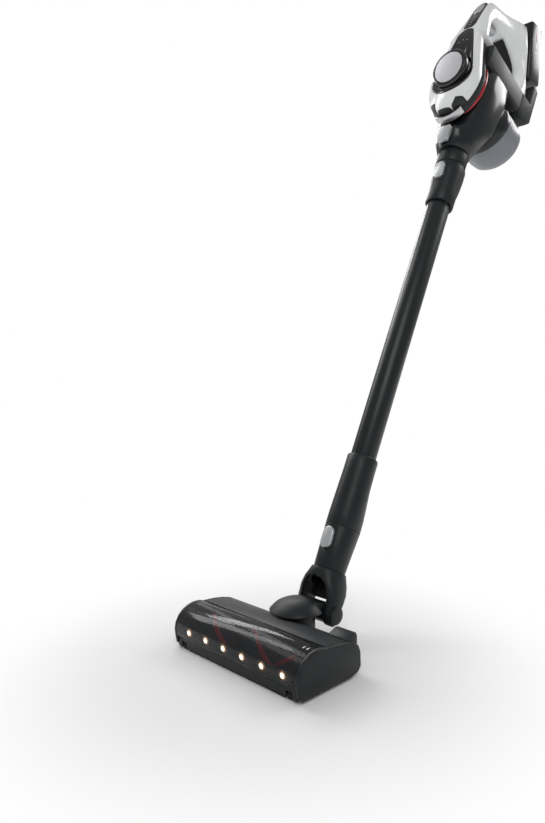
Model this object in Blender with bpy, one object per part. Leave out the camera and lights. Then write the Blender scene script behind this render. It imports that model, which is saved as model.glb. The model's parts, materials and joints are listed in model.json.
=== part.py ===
"""A cordless stick vacuum: hand unit, dust container, wand, jointed neck and a lit power nozzle.

Metres, +Z up. The floor is z = 0 and the plane of symmetry is x = 0. The nozzle faces -Y and the
stick leans back towards +Y. Everything hangs on the "layout" empty, which centres the vacuum over
the origin; sizes along Y below are measured from that empty, which is on the stick's axis.
Stick pieces are drawn in the stick's own frame: X across, Y towards the rear of the stick and Z
up along its axis, so "front" below is -Y there and "up" is Z.
"""

import math

import bmesh
import bpy
from mathutils import Matrix, Vector

# Fits
GAP = 0.0003
RUNNING_GAP = 0.0008

# Frames
LAYOUT_Y = -0.2295
LEAN = math.radians(27.6)
STICK_ORIGIN_HEIGHT = 0.050
HINGE_UP = -0.012

# Wand
TUBE_RADIUS = 0.0195
TUBE_WALL = 0.0015
SPIGOT_RADIUS = 0.0172
SPIGOT_BORE = 0.0148
NECK_SEAM = 0.111
LOWER_COLLAR_TOP = 0.223
WAND_LENGTH = 0.461
HAND_DATUM = 0.684
UPPER_RISE = LOWER_COLLAR_TOP + WAND_LENGTH - HAND_DATUM
INLET_SEAM = 0.762
COLLAR_RADIUS = 0.0236
COLLAR_MOUTH_RADIUS = 0.0256
SPIGOT_LENGTH = 0.032
TUBE_INSET = 0.036
RAIL_HALF_WIDTH = 0.006
RAIL_DEPTH = 0.0055

# Oval release buttons on the neck and on the upper collar
OVAL_HALF_WIDTH = 0.0095
OVAL_HALF_HEIGHT = 0.0165
OVAL_PROUD = 0.0035
OVAL_THICKNESS = 0.0060
OVAL_TRAVEL = 0.0025
LOWER_OVAL_UP = 0.090
UPPER_OVAL_UP = 0.740

# Neck, turret and swivel
CUFF_TOP = 0.046
CUFF_RADIUS = 0.0262
YOKE_HALF_WIDTH = 0.0365
YOKE_INNER_HALF = 0.0245
YOKE_TOP = 0.0060
ARCH_DEPTH = 0.0120
BOSS_RADIUS = 0.0165
LUG_RADIUS = 0.0145
PIN_RADIUS = 0.0060
SWIVEL_Y = -0.047
HUB_RADIUS = 0.0255
TURRET_SHAFT_RADIUS = 0.0222
DOME_RADIUS = 0.0385
DOME_TOP = 0.0670
HUB_TOP = 0.0505
ARM_ROOM_HALF = 0.0237
ARM_ROOM_FRONT = -0.034

# Nozzle
NOZZLE_HALF_WIDTH = 0.1235
END_CAP_THICKNESS = 0.0060
BASE_BOTTOM = 0.0030
BASE_TOP = 0.0420
LIP_Y = -0.1664
LIP_THICKNESS = 0.0068
LIP_TOP = 0.0165
CHAMBER_BACK = -0.1080
PARTITION = 0.0032
BASE_REAR = -0.0600
CHEEK = 0.0030
COVER_Y = -0.1335
COVER_Z = 0.0245
COVER_DEPTH = 0.0365
COVER_HEIGHT = 0.0325
COVER_WALL = 0.0020
COVER_BACK_ANGLE = 64.0
COVER_FRONT_ANGLE = 192.0
DECK_WALL = 0.0022
LATCH_WIDTH = 0.0300
BRUSH_Y = -0.1330
BRUSH_Z = 0.0245
BRUSH_RADIUS = 0.0228
CORE_RADIUS = 0.0150
BRISTLE_STRIPS = 4
BRISTLE_TWIST = 1.1
SLEEVE_RADIUS = 0.0168
BRISTLE_SHAPE = ((0.0, SLEEVE_RADIUS), (0.10, BRUSH_RADIUS), (0.22, BRUSH_RADIUS), (0.32, SLEEVE_RADIUS), (0.66, SLEEVE_RADIUS))
BEARING_WIDTH = 0.0036
SIDES = (("left", -1), ("right", 1))
LED_COUNT = 6
LED_PITCH = 0.037
LED_Z = 0.0265
WHEEL_RADIUS = 0.0090
WHEEL_WIDTH = 0.0100
WHEEL_X = 0.0860
WHEEL_Y = -0.0715
ROLLER_RADIUS = 0.0050
ROLLER_WIDTH = 0.0080
ROLLER_X = 0.1040
ROLLER_Y = LIP_Y + 0.0052
ROLLER_WELL_HALF_WIDTH = 0.0055
WELL_HALF_WIDTH = 0.0075
AXLE_RADIUS = 0.0022
BELT_X = 0.0985
NOZZLE_MOTOR_Y = -0.0905
NOZZLE_MOTOR_Z = 0.0250

# Hand unit
DISC_UP = 0.912
DISC_FRONT = 0.081
DISC_TILT = math.radians(14.4)
DISC_RADIUS = 0.029
PANEL_RIM = 0.0095
BAND_WIDTH = 0.0090
BAND_RADIUS = DISC_RADIUS + PANEL_RIM + BAND_WIDTH
BAND_HEART = 0.905
BAND_FOOT = 0.070
FRONT_BACK = 0.046
RING_BACK = 0.034
CONTAINER_TOP = 0.944
CONTAINER_BOTTOM = 0.787
CONTAINER_REAR = 0.062
CONTAINER_WALL = 0.0022
CUP_UP = 0.893
CUP_RADIUS = 0.0505
CUP_DEPTH = 0.057
CUP_LIP = 0.0005
HOUSING_HALF_WIDTH = 0.0455
HOUSING_TOP = 0.9880
HOUSING_REAR = 0.084
LOOP_FOOT = HOUSING_TOP + 0.0015
LOOP_ARM = 0.0060
GRILLE_REAR = 0.131
GRILLE_FLOOR = 0.953
MOTOR_UP = 0.967
MOTOR_RADIUS = 0.0165
FOOT_LINE = ((-0.0600, 0.856), (-0.0200, 0.856), (-0.0145, 0.839), (0.0145, 0.839), (0.0200, 0.856), (0.0600, 0.856))
RELEASE_UP = 0.8015
RELEASE_TOP_HALF = 0.0130
RELEASE_FOOT_HALF = 0.0090
RELEASE_HALF_HEIGHT = 0.0120
BATTERY_LENGTH = 0.114
BATTERY_THICKNESS = 0.0435
BATTERY_HALF_WIDTH = 0.0375
BATTERY_UP = 1.0985
BATTERY_FRONT = -0.102
BATTERY_TILT = math.radians(18.7)
GRIP_INSERT_HALF = 0.0125
PILL_HALF_WIDTH = 0.0125
PILL_LOW = 1.016
PILL_HIGH = 1.094


# ---------------------------------------------------------------- scene helpers

def clear_scene():
    for obj in list(bpy.data.objects):
        bpy.data.objects.remove(obj, do_unlink=True)


def material(name, colour, roughness, metallic=0.0, alpha=1.0):
    mat = bpy.data.materials.new(name)
    mat.use_nodes = True
    shader = mat.node_tree.nodes["Principled BSDF"]
    shader.inputs["Base Color"].default_value = (*colour, 1.0)
    shader.inputs["Roughness"].default_value = roughness
    shader.inputs["Metallic"].default_value = metallic
    shader.inputs["Alpha"].default_value = alpha
    return mat


def empty(name, location, rotation=(0.0, 0.0, 0.0), parent=None):
    frame = bpy.data.objects.new(name, None)
    bpy.context.collection.objects.link(frame)
    frame.parent = parent
    frame.location = location
    frame.rotation_euler = rotation
    return frame


def finish(name, bm, mat, frame=None, pivot=(0.0, 0.0, 0.0), smooth=40.0):
    """Turns a bmesh drawn in its frame into an object whose origin is at pivot."""
    bmesh.ops.recalc_face_normals(bm, faces=bm.faces)
    if bm.calc_volume(signed=True) < 0:
        bmesh.ops.reverse_faces(bm, faces=bm.faces)
    bmesh.ops.translate(bm, vec=-Vector(pivot), verts=bm.verts)
    mesh = bpy.data.meshes.new(name)
    bm.to_mesh(mesh)
    bm.free()
    mesh.shade_smooth()
    mesh.set_sharp_from_angle(angle=math.radians(smooth))
    mesh.materials.append(mat)
    obj = bpy.data.objects.new(name, mesh)
    bpy.context.collection.objects.link(obj)
    obj.parent = frame or bpy.data.objects["layout"]
    obj.location = pivot
    return obj


def helper(name, bm, frame=None):
    """A cutter or an added lump: it is never rendered."""
    obj = finish(name, bm, bpy.data.materials["guide"], frame)
    obj.hide_render = True
    obj.display_type = "WIRE"
    return obj


def combine(obj, other, operation):
    mod = obj.modifiers.new(operation.lower() + "_" + other.name, "BOOLEAN")
    mod.operation = operation
    mod.solver = "EXACT"
    mod.object = other


def cut(obj, name, bm, frame=None):
    combine(obj, helper(name, bm, frame), "DIFFERENCE")


def add(obj, name, bm, frame=None):
    combine(obj, helper(name, bm, frame), "UNION")


# ---------------------------------------------------------------- shape helpers

def loft(rings, cyclic=False):
    """A solid through rings of equal point counts, capped, or closed on itself if cyclic."""
    bm = bmesh.new()
    layers = [[bm.verts.new(point) for point in ring] for ring in rings]
    count = len(layers[0])
    pairs = list(zip(layers, layers[1:]))
    if cyclic:
        pairs.append((layers[-1], layers[0]))
    for low, high in pairs:
        for i in range(count):
            j = (i + 1) % count
            bm.faces.new((low[i], low[j], high[j], high[i]))
    if not cyclic:
        bm.faces.new(list(reversed(layers[0])))
        bm.faces.new(layers[-1])
    return bm


def circle(radius, height, steps=24):
    angles = [2 * math.pi * i / steps for i in range(steps)]
    return [Vector((radius * math.cos(a), radius * math.sin(a), height)) for a in angles]


def turned(profile, steps=24, ring=False):
    """Turns (radius, height) points about Z; with ring the profile is a closed outline."""
    return loft([circle(radius, height, steps) for radius, height in profile], cyclic=ring)


def tube(outer, inner, low, high, steps=24):
    return turned([(outer, low), (outer, high), (inner, high), (inner, low)], steps, ring=True)


def rod(radius, low, high, steps=20):
    return turned([(radius, low), (radius, high)], steps)


def box(low, high, bevel=0.0):
    bm = bmesh.new()
    bmesh.ops.create_cube(bm, size=1.0)
    low, high = Vector(low), Vector(high)
    bmesh.ops.scale(bm, vec=high - low, verts=bm.verts)
    bmesh.ops.translate(bm, vec=(low + high) / 2, verts=bm.verts)
    if bevel:
        bmesh.ops.bevel(bm, geom=bm.edges[:], offset=bevel, segments=2, affect="EDGES", profile=0.5)
    return bm


def prism_x(outline, low, high):
    """An outline of (y, z) points drawn out along X."""
    return loft([[Vector((x, y, z)) for y, z in outline] for x in (low, high)])


def squircle(half_a, half_b, power=2.0, steps=28):
    points = []
    for i in range(steps):
        angle = 2 * math.pi * i / steps
        c, s = math.cos(angle), math.sin(angle)
        points.append((half_a * math.copysign(abs(c) ** (2 / power), c),
                       half_b * math.copysign(abs(s) ** (2 / power), s)))
    return points


def capsule(half_width, half_height, steps=16):
    """An upright slot shape: straight sides and round ends."""
    straight = half_height - half_width
    points = []
    for i in range(steps):
        angle = 2 * math.pi * (i + 0.5) / steps
        lift = math.copysign(straight, math.sin(angle))
        points.append((half_width * math.cos(angle), half_width * math.sin(angle) + lift))
    return points


def slab_y(outline, back, front):
    """An (x, z) outline drawn out from y = back to y = front."""
    return loft([[Vector((x, y, z)) for x, z in outline] for y in (back, front)])


def section_z(height, half_x, front, rear, power=2.4, steps=28):
    """A level ring that reaches from -front to rear in Y."""
    middle, half_y = (rear - front) / 2, (rear + front) / 2
    return [Vector((x, middle + y, height)) for x, y in squircle(half_x, half_y, power, steps)]


def along_x(bm, y, z):
    """Lays a shape turned about Z along X, at (y, z)."""
    bm.transform(Matrix.Translation((0, y, z)) @ Matrix.Rotation(math.pi / 2, 4, "Y"))
    return bm


def along_y(bm, x, z):
    bm.transform(Matrix.Translation((x, 0, z)) @ Matrix.Rotation(-math.pi / 2, 4, "X"))
    return bm


# ---------------------------------------------------------------- nozzle

def cover_point(angle, inset=0.0):
    turn = math.radians(angle)
    return (COVER_Y + (COVER_DEPTH - inset) * math.cos(turn),
            COVER_Z + (COVER_HEIGHT - inset) * math.sin(turn))


def deck_outline():
    """Top line of the nozzle behind the cover, front to rear."""
    back_of_cover = cover_point(COVER_BACK_ANGLE)
    return [(back_of_cover[0] + RUNNING_GAP, back_of_cover[1]), (-0.1000, 0.0525), (-0.0820, 0.0495),
            (-0.0680, 0.0455), (-0.0600, 0.0390), (-0.0568, 0.0300), (-0.0568, 0.0120)]


def side_outline():
    """Full side shape of the nozzle, used by its end caps."""
    front = [cover_point(a) for a in range(int(COVER_FRONT_ANGLE), int(COVER_BACK_ANGLE) - 1, -16)]
    return ([(LIP_Y + 0.004, BASE_BOTTOM), (LIP_Y - 0.001, BASE_BOTTOM + 0.004)] + front
            + deck_outline() + [(-0.0620, 0.0060), (-0.0740, BASE_BOTTOM)])


def build_nozzle_base(mats):
    inner = NOZZLE_HALF_WIDTH - END_CAP_THICKNESS - GAP
    base = finish("nozzle_base", box((-inner, LIP_Y, BASE_BOTTOM), (inner, BASE_REAR, BASE_TOP)), mats["black"])
    lip_back = LIP_Y + LIP_THICKNESS
    far = 0.2
    cut(base, "chamber_cut", box((-inner + CHEEK, lip_back, -far), (inner - CHEEK, CHAMBER_BACK, far)))
    cut(base, "lip_cut", box((-far, -far, LIP_TOP), (far, lip_back, far)))
    cut(base, "rear_step", box((-far, -0.0720, 0.0300), (far, far, far)))
    cut(base, "room_cut", box((-inner + CHEEK, CHAMBER_BACK + PARTITION, BASE_BOTTOM + 0.003),
                              (inner - CHEEK, BASE_REAR - 0.003, far)))
    add(base, "hub_block", at_swivel(rod(HUB_RADIUS, BASE_BOTTOM + 0.0004, HUB_TOP, 28)))
    cut(base, "hub_bore", at_swivel(rod(TURRET_SHAFT_RADIUS + GAP, BASE_BOTTOM + 0.0036, far, 28)))
    cut(base, "air_cut", box((-0.016, CHAMBER_BACK - 0.01, 0.010), (0.016, SWIVEL_Y, 0.036)))
    cut(base, "belt_cut", box((BELT_X - 0.005, CHAMBER_BACK - 0.01, 0.008), (BELT_X + 0.005, -0.100, 0.045)))
    for side in (-1, 1):
        wall = 0.0020
        add(base, "wheel_box", box_about((side * WHEEL_X, WHEEL_Y, 0.0130), (WELL_HALF_WIDTH + wall, 0.0110, 0.0095)))
        cut(base, "wheel_well", box_about((side * WHEEL_X, WHEEL_Y, 0.0), (WELL_HALF_WIDTH, 0.0098, 0.0205)))
        cut(base, "roller_well", box_about((side * ROLLER_X, ROLLER_Y, 0.0), (ROLLER_WELL_HALF_WIDTH, 0.0056, 0.0112)))
    return base


def box_about(centre, half):
    centre, half = Vector(centre), Vector(half)
    return box(centre - half, centre + half)


def at_swivel(bm):
    bm.transform(Matrix.Translation((0, SWIVEL_Y, 0)))
    return bm


def build_cover(mats):
    inner = NOZZLE_HALF_WIDTH - END_CAP_THICKNESS - GAP
    angles = [COVER_BACK_ANGLE + (COVER_FRONT_ANGLE - COVER_BACK_ANGLE) * i / 14 for i in range(15)]
    outline = [cover_point(a) for a in angles] + [cover_point(a, COVER_WALL) for a in reversed(angles)]
    return finish("brush_cover", prism_x(outline, -inner, inner), mats["smoky"])


def build_deck(mats):
    inner = NOZZLE_HALF_WIDTH - END_CAP_THICKNESS - GAP
    top = deck_outline()
    under = [(y - 0.0004, z - DECK_WALL) for y, z in top[:3]]
    under += [(y - DECK_WALL * 0.8, z - DECK_WALL * 0.75) for y, z in top[3:5]]
    under += [(top[5][0] - DECK_WALL, top[5][1] - 0.001), (top[6][0] - DECK_WALL, top[6][1])]
    under[0] = (top[0][0], top[0][1] - DECK_WALL)
    deck = finish("nozzle_deck", prism_x(top + under[::-1], -inner, inner), mats["black"])
    hump = [(-0.0800, 0.0440), (-0.0780, 0.0500), (-0.0640, 0.0550), (-0.0590, 0.0540), (-0.0568, 0.0500),
            (-0.0568, 0.0380), (-0.0640, 0.0400), (-0.0710, 0.0440)]
    add(deck, "latch_hump", prism_x(hump, inner - LATCH_WIDTH, inner - 0.0006))
    cut(deck, "deck_hub_cut", at_swivel(rod(HUB_RADIUS + RUNNING_GAP, -0.1, 0.1, 32)))
    return deck


def build_end_cap(name, side, mats):
    outer = side * NOZZLE_HALF_WIDTH
    inner = side * (NOZZLE_HALF_WIDTH - END_CAP_THICKNESS)
    outline = side_outline()
    middle = Vector((0, -0.11, 0.028))
    rings = []
    for x, shrink in ((inner, 0.0), (outer - side * 0.0022, 0.0), (outer - side * 0.0006, 0.0010), (outer, 0.0028)):
        ring = []
        for y, z in outline:
            towards = (middle - Vector((0, y, z))).normalized() * shrink
            ring.append(Vector((x, y, z)) + towards)
        rings.append(ring)
    return finish(name, loft(rings), mats["black"])


def brush_sleeve():
    """A fabric sleeve on the brush core with bristle ridges wound as a shallow chevron."""
    low, high = -0.1060, BELT_X - 0.0045
    steps = 20
    outer, inner = [], []
    for i in range(steps + 1):
        x = low + (high - low) * i / steps
        start = BRISTLE_TWIST * abs(x) / high
        ring = []
        for k in range(BRISTLE_STRIPS):
            for turn, radius in BRISTLE_SHAPE:
                angle = start + 2 * math.pi * (k + turn) / BRISTLE_STRIPS
                ring.append(brush_point(x, radius, angle))
        outer.append(ring)
        if i in (0, steps):
            count = len(ring)
            inner.append([brush_point(x, CORE_RADIUS + 2 * GAP, 2 * math.pi * j / count) for j in range(count)])
    return loft(outer + inner[::-1], cyclic=True)


def brush_point(x, radius, angle):
    return Vector((x, BRUSH_Y + radius * math.cos(angle), BRUSH_Z + radius * math.sin(angle)))


def build_brush(mats):
    pivot = (0, BRUSH_Y, BRUSH_Z)
    end = NOZZLE_HALF_WIDTH - END_CAP_THICKNESS - GAP - CHEEK - GAP
    core = turned([(0.0040, -end), (0.0040, -end + 0.0045), (CORE_RADIUS, -end + 0.0045),
                   (CORE_RADIUS, end - 0.0045), (0.0040, end - 0.0045), (0.0040, end)], 28)
    finish("brush_core", along_x(core, BRUSH_Y, BRUSH_Z), mats["dark_grey"], pivot=pivot)
    finish("brush_sleeve", brush_sleeve(), mats["bristle"], pivot=pivot)
    for name, side in SIDES:
        middle = side * (end - BEARING_WIDTH / 2)
        bearing = tube(0.0090, 0.0040 + GAP, middle - BEARING_WIDTH / 2, middle + BEARING_WIDTH / 2, 20)
        finish("brush_bearing_" + name, along_x(bearing, BRUSH_Y, BRUSH_Z), mats["steel"])


def build_nozzle_drive(mats):
    motor = along_x(rod(0.0132, 0.0220, 0.0740), NOZZLE_MOTOR_Y, NOZZLE_MOTOR_Z)
    body = finish("nozzle_motor", motor, mats["steel"])
    add(body, "motor_stub", along_x(rod(0.0022, 0.073, 0.1025, 12), NOZZLE_MOTOR_Y, NOZZLE_MOTOR_Z))
    pulley = tube(0.0055, 0.0022 + GAP, BELT_X - 0.0030, BELT_X + 0.0030, 20)
    finish("drive_pulley", along_x(pulley, NOZZLE_MOTOR_Y, NOZZLE_MOTOR_Z), mats["black"])
    finish("drive_belt", belt(), mats["rubber"])


def belt():
    """A flat belt round the pulley and the brush core: a loop outline drawn out along X."""
    brush, motor = Vector((BRUSH_Y, BRUSH_Z)), Vector((NOZZLE_MOTOR_Y, NOZZLE_MOTOR_Z))
    line = (motor - brush).normalized()
    big, small = CORE_RADIUS + GAP, 0.0055 + GAP
    lean = math.asin((big - small) / (motor - brush).length)
    heading = math.atan2(line.y, line.x)
    angles = [heading + math.pi / 2 - lean + (math.pi + 2 * lean) * i / 14 for i in range(15)]
    back = [heading - math.pi / 2 + lean + (math.pi - 2 * lean) * i / 8 for i in range(9)]
    rings = []
    for x, thick in ((BELT_X - 0.0025, 0.0), (BELT_X + 0.0025, 0.0), (BELT_X + 0.0025, 0.0012), (BELT_X - 0.0025, 0.0012)):
        ring = [(brush + (big + thick) * Vector((math.cos(a), math.sin(a)))) for a in angles]
        ring += [(motor + (small + thick) * Vector((math.cos(a), math.sin(a)))) for a in back]
        rings.append([Vector((x, p.x, p.y)) for p in ring])
    return loft(rings, cyclic=True)


def build_lights(mats):
    inside = COVER_Y - COVER_DEPTH + COVER_WALL
    lens_front = inside + RUNNING_GAP
    board_front = lens_front + 0.0030
    finish("led_board", box((-0.105, board_front + GAP, LIP_TOP + GAP), (0.105, board_front + 0.0018, 0.0315)), mats["board"])
    end = LED_PITCH * LED_COUNT / 2 - 0.008
    strip = box((-end, board_front - 0.0010, LED_Z - 0.0046), (end, board_front, LED_Z + 0.0046))
    strip = finish("led_lens_strip", strip, mats["lamp"])
    for i in range(LED_COUNT):
        x = (i - (LED_COUNT - 1) / 2) * LED_PITCH
        lens = turned([(0.0040, 0.0004), (0.0040, 0.0018), (0.0030, 0.0026), (0.0012, 0.0030)], 16)
        lens.transform(Matrix.Translation((x, board_front, LED_Z)) @ Matrix.Rotation(math.pi / 2, 4, "X"))
        add(strip, f"led_lens_{i}", lens)


def build_running_gear(mats):
    for name, side in SIDES:
        x = side * WHEEL_X
        wheel = tube(WHEEL_RADIUS, AXLE_RADIUS + GAP, x - WHEEL_WIDTH / 2, x + WHEEL_WIDTH / 2, 24)
        wheel = along_x(wheel, WHEEL_Y, WHEEL_RADIUS)
        finish("rear_wheel_" + name, wheel, mats["tyre"], pivot=(x, WHEEL_Y, WHEEL_RADIUS))
        axle = rod(AXLE_RADIUS, x - WELL_HALF_WIDTH + GAP, x + WELL_HALF_WIDTH - GAP, 12)
        finish("rear_axle_" + name, along_x(axle, WHEEL_Y, WHEEL_RADIUS), mats["steel"])
        x = side * ROLLER_X
        stub = ROLLER_WELL_HALF_WIDTH - GAP
        half = ROLLER_WIDTH / 2
        roller = turned([(0.0012, x - stub), (0.0012, x - half), (ROLLER_RADIUS, x - half), (ROLLER_RADIUS, x + half),
                         (0.0012, x + half), (0.0012, x + stub)], 16)
        finish("front_roller_" + name, along_x(roller, ROLLER_Y, ROLLER_RADIUS), mats["tyre"],
               pivot=(x, ROLLER_Y, ROLLER_RADIUS))
    strip = box((-0.094, LIP_Y + 0.0012, 0.0006), (0.094, LIP_Y + 0.0052, BASE_BOTTOM - GAP))
    finish("front_felt_strip", strip, mats["felt"])


def build_turret(hinge, mats):
    """The swivelling dome on the nozzle, with the lugs that carry the stick's hinge."""
    hinge_y, hinge_z = hinge
    turret = finish("turret", at_swivel(turned([
        (TURRET_SHAFT_RADIUS, BASE_BOTTOM + 0.0042), (TURRET_SHAFT_RADIUS, HUB_TOP + GAP),
        (DOME_RADIUS, HUB_TOP + 0.0007), (DOME_RADIUS, 0.0525), (0.0350, 0.0560), (0.0300, 0.0605),
        (0.0220, 0.0645), (0.0120, 0.0665), (0.0040, DOME_TOP)], 32)), mats["black"], pivot=(0, SWIVEL_Y, 0))
    for name, side in SIDES:
        low, high = sorted((side * ARM_ROOM_HALF, side * 0.06))
        cut(turret, "arm_room_" + name, box((low, ARM_ROOM_FRONT, HUB_TOP - 0.0005), (high, 0.05, 0.1)))
    lug = [(hinge_y + LUG_RADIUS * math.cos(a), hinge_z + LUG_RADIUS * math.sin(a))
           for a in (math.radians(-100 + 190 * i / 12) for i in range(13))]
    lug += [(SWIVEL_Y + 0.014, 0.0625), (SWIVEL_Y + 0.004, 0.0580), (SWIVEL_Y + 0.004, HUB_TOP + 0.0022),
            (hinge_y - LUG_RADIUS * 0.86, HUB_TOP + 0.0022), (hinge_y - LUG_RADIUS * 0.93, hinge_z + 0.004),
            (hinge_y - LUG_RADIUS * 0.86, hinge_z - 0.006)]
    add(turret, "lug_block", prism_x(lug, -YOKE_INNER_HALF + RUNNING_GAP, YOKE_INNER_HALF - RUNNING_GAP))
    cut(turret, "turret_air", at_swivel(rod(0.0185, -0.01, 0.060, 24)))
    cut(turret, "turret_front_air", box((-0.014, SWIVEL_Y - 0.03, 0.011), (0.014, SWIVEL_Y, 0.035)))
    cut(turret, "pin_bore", along_x(rod(PIN_RADIUS + GAP, -0.1, 0.1, 20), hinge_y, hinge_z))
    return turret


# ---------------------------------------------------------------- neck and wand, in the stick's frame

def build_cuff(stick, mats):
    rows = [(CUFF_TOP, CUFF_RADIUS, CUFF_RADIUS), (CUFF_TOP - 0.003, CUFF_RADIUS + 0.001, CUFF_RADIUS + 0.0006),
            (0.030, 0.0295, 0.0262), (0.018, 0.0345, 0.0235), (0.006, YOKE_HALF_WIDTH, 0.0190),
            (-0.004, YOKE_HALF_WIDTH, 0.0170), (HINGE_UP, YOKE_HALF_WIDTH, BOSS_RADIUS),
            (HINGE_UP - 0.0085, YOKE_HALF_WIDTH, 0.0141), (HINGE_UP - 0.0135, YOKE_HALF_WIDTH, 0.0095),
            (HINGE_UP - 0.0160, YOKE_HALF_WIDTH - 0.001, 0.0040)]
    rings = []
    for up, half_x, half_y in rows:
        power = 2.0 if up > 0.03 else 3.2
        rings.append([Vector((x, y, up)) for x, y in squircle(half_x, half_y, power, 36)])
    cuff = finish("neck_cuff", loft(rings), mats["black"], stick, pivot=(0, 0, HINGE_UP))
    arch_half = YOKE_INNER_HALF - GAP
    arch = [(math.cos(a) * arch_half, 0.010 + math.sin(a) * 0.024) for a in
            (math.radians(180 * i / 12) for i in range(13))]
    arch += [(-arch_half, -0.05), (arch_half, -0.05)]
    cut(cuff, "arch_cut", slab_y(arch, -0.1, ARCH_DEPTH), stick)
    cut(cuff, "yoke_cut", box((-YOKE_INNER_HALF, -0.1, -0.06), (YOKE_INNER_HALF, 0.1, YOKE_TOP)), stick)
    cut(cuff, "cuff_bore", rod(0.0205 + GAP, 0.022, 0.1, 28), stick)
    cut(cuff, "boss_bore", along_x(rod(PIN_RADIUS + GAP, -0.1, 0.1, 20), 0, HINGE_UP), stick)
    return cuff


def build_pivot_pins(stick, mats):
    for name, side in SIDES:
        inner, outer = 0.0200, YOKE_HALF_WIDTH + GAP
        pin = turned([(PIN_RADIUS, side * inner), (PIN_RADIUS, side * outer), (0.0130, side * outer),
                      (0.0130, side * (outer + 0.0010)), (0.0100, side * (outer + 0.0022))], 28)
        finish("pivot_pin_" + name, along_x(pin, 0, HINGE_UP), mats["black"], stick, pivot=(0, 0, HINGE_UP))


def bulged(height, radius, bulge, steps=24):
    """A round ring whose rear stands out by bulge."""
    ring = []
    for point in circle(radius, height, steps):
        rear = max(0.0, point.y / radius)
        ring.append(Vector((point.x, point.y + bulge * rear * rear, height)))
    return ring


def oval_seat(up, surface):
    """Pocket of an oval button, cut from the front of a round neck."""
    outline = [(x, up + z) for x, z in capsule(OVAL_HALF_WIDTH + GAP, OVAL_HALF_HEIGHT + GAP)]
    bottom = surface + OVAL_PROUD - OVAL_THICKNESS - OVAL_TRAVEL - 0.0008
    return slab_y(outline, -bottom, -0.08)


def oval_button(name, up, surface, stick, mats):
    front = surface + OVAL_PROUD
    rows = ((front - OVAL_THICKNESS, 0.0), (front - 0.0012, 0.0), (front - 0.0003, 0.0006), (front, 0.0016))
    rings = []
    for distance, inset in rows:
        outline = capsule(OVAL_HALF_WIDTH - inset, OVAL_HALF_HEIGHT - inset)
        rings.append([Vector((x, -distance, up + z)) for x, z in outline])
    return finish(name, loft(rings), mats["silver"], stick, pivot=(0, -surface, up))


def build_neck(stick, mats):
    neck_bottom = CUFF_TOP - 0.014
    rings = [circle(0.0205, neck_bottom), circle(0.0205, CUFF_TOP + GAP), bulged(CUFF_TOP + GAP, 0.0236, 0.0015),
             bulged(0.070, 0.0240, 0.0050), bulged(0.095, 0.0246, 0.0090), bulged(NECK_SEAM - GAP, 0.0250, 0.0105),
             circle(SPIGOT_RADIUS, NECK_SEAM - GAP), circle(SPIGOT_RADIUS, NECK_SEAM + SPIGOT_LENGTH)]
    neck = finish("neck_tube", loft(rings), mats["black"], stick)
    cut(neck, "neck_bore", rod(SPIGOT_BORE, -0.02, 0.3, 28), stick)
    cut(neck, "lower_oval_seat", oval_seat(LOWER_OVAL_UP, 0.0246), stick)
    oval_button("lower_release_button", LOWER_OVAL_UP, 0.0246, stick, mats)
    return neck


def build_wand(stick, mats):
    tube_low = NECK_SEAM + TUBE_INSET
    tube_high = UPPER_RISE + INLET_SEAM - TUBE_INSET
    finish("wand_tube", tube(TUBE_RADIUS, TUBE_RADIUS - TUBE_WALL, tube_low, tube_high, 36), mats["tube"], stick)
    rail_front = TUBE_RADIUS + GAP
    rail = box((-RAIL_HALF_WIDTH, rail_front, LOWER_COLLAR_TOP + GAP),
               (RAIL_HALF_WIDTH, rail_front + RAIL_DEPTH, LOWER_COLLAR_TOP + WAND_LENGTH - GAP), 0.0012)
    finish("wand_rail", rail, mats["dark_grey"], stick)
    rings = [bulged(NECK_SEAM, 0.0252, 0.0105), bulged(0.130, 0.0252, 0.0100), bulged(0.150, 0.0248, 0.0070),
             bulged(0.175, 0.0242, 0.0025), bulged(0.200, COLLAR_RADIUS, 0.0030),
             bulged(LOWER_COLLAR_TOP - 0.002, COLLAR_RADIUS, 0.0030), bulged(LOWER_COLLAR_TOP, 0.0226, 0.0030)]
    lower = finish("lower_collar", loft(rings), mats["black"], stick)
    cut(lower, "lower_tube_bore", rod(TUBE_RADIUS + GAP, tube_low - GAP, 0.4, 36), stick)
    cut(lower, "lower_spigot_bore", rod(SPIGOT_RADIUS + GAP, 0.0, tube_low, 32), stick)


def build_upper_collar(upper, mats):
    tube_high = INLET_SEAM - TUBE_INSET
    rings = [bulged(HAND_DATUM, 0.0226, 0.0035), bulged(HAND_DATUM + 0.002, COLLAR_RADIUS, 0.0035),
             bulged(0.705, COLLAR_RADIUS, 0.0040), bulged(0.725, 0.0246, 0.0080),
             bulged(0.745, COLLAR_MOUTH_RADIUS, 0.0090), bulged(INLET_SEAM - GAP, COLLAR_MOUTH_RADIUS, 0.0090)]
    collar = finish("upper_collar", loft(rings), mats["black"], upper)
    cut(collar, "upper_tube_bore", rod(TUBE_RADIUS + GAP, 0.5, tube_high + GAP, 36), upper)
    cut(collar, "upper_spigot_bore", rod(SPIGOT_RADIUS + GAP, tube_high, 1.0, 32), upper)
    cut(collar, "upper_oval_seat", oval_seat(UPPER_OVAL_UP, 0.0252), upper)
    oval_button("upper_release_button", UPPER_OVAL_UP, 0.0252, upper, mats)


# ---------------------------------------------------------------- dust container

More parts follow.
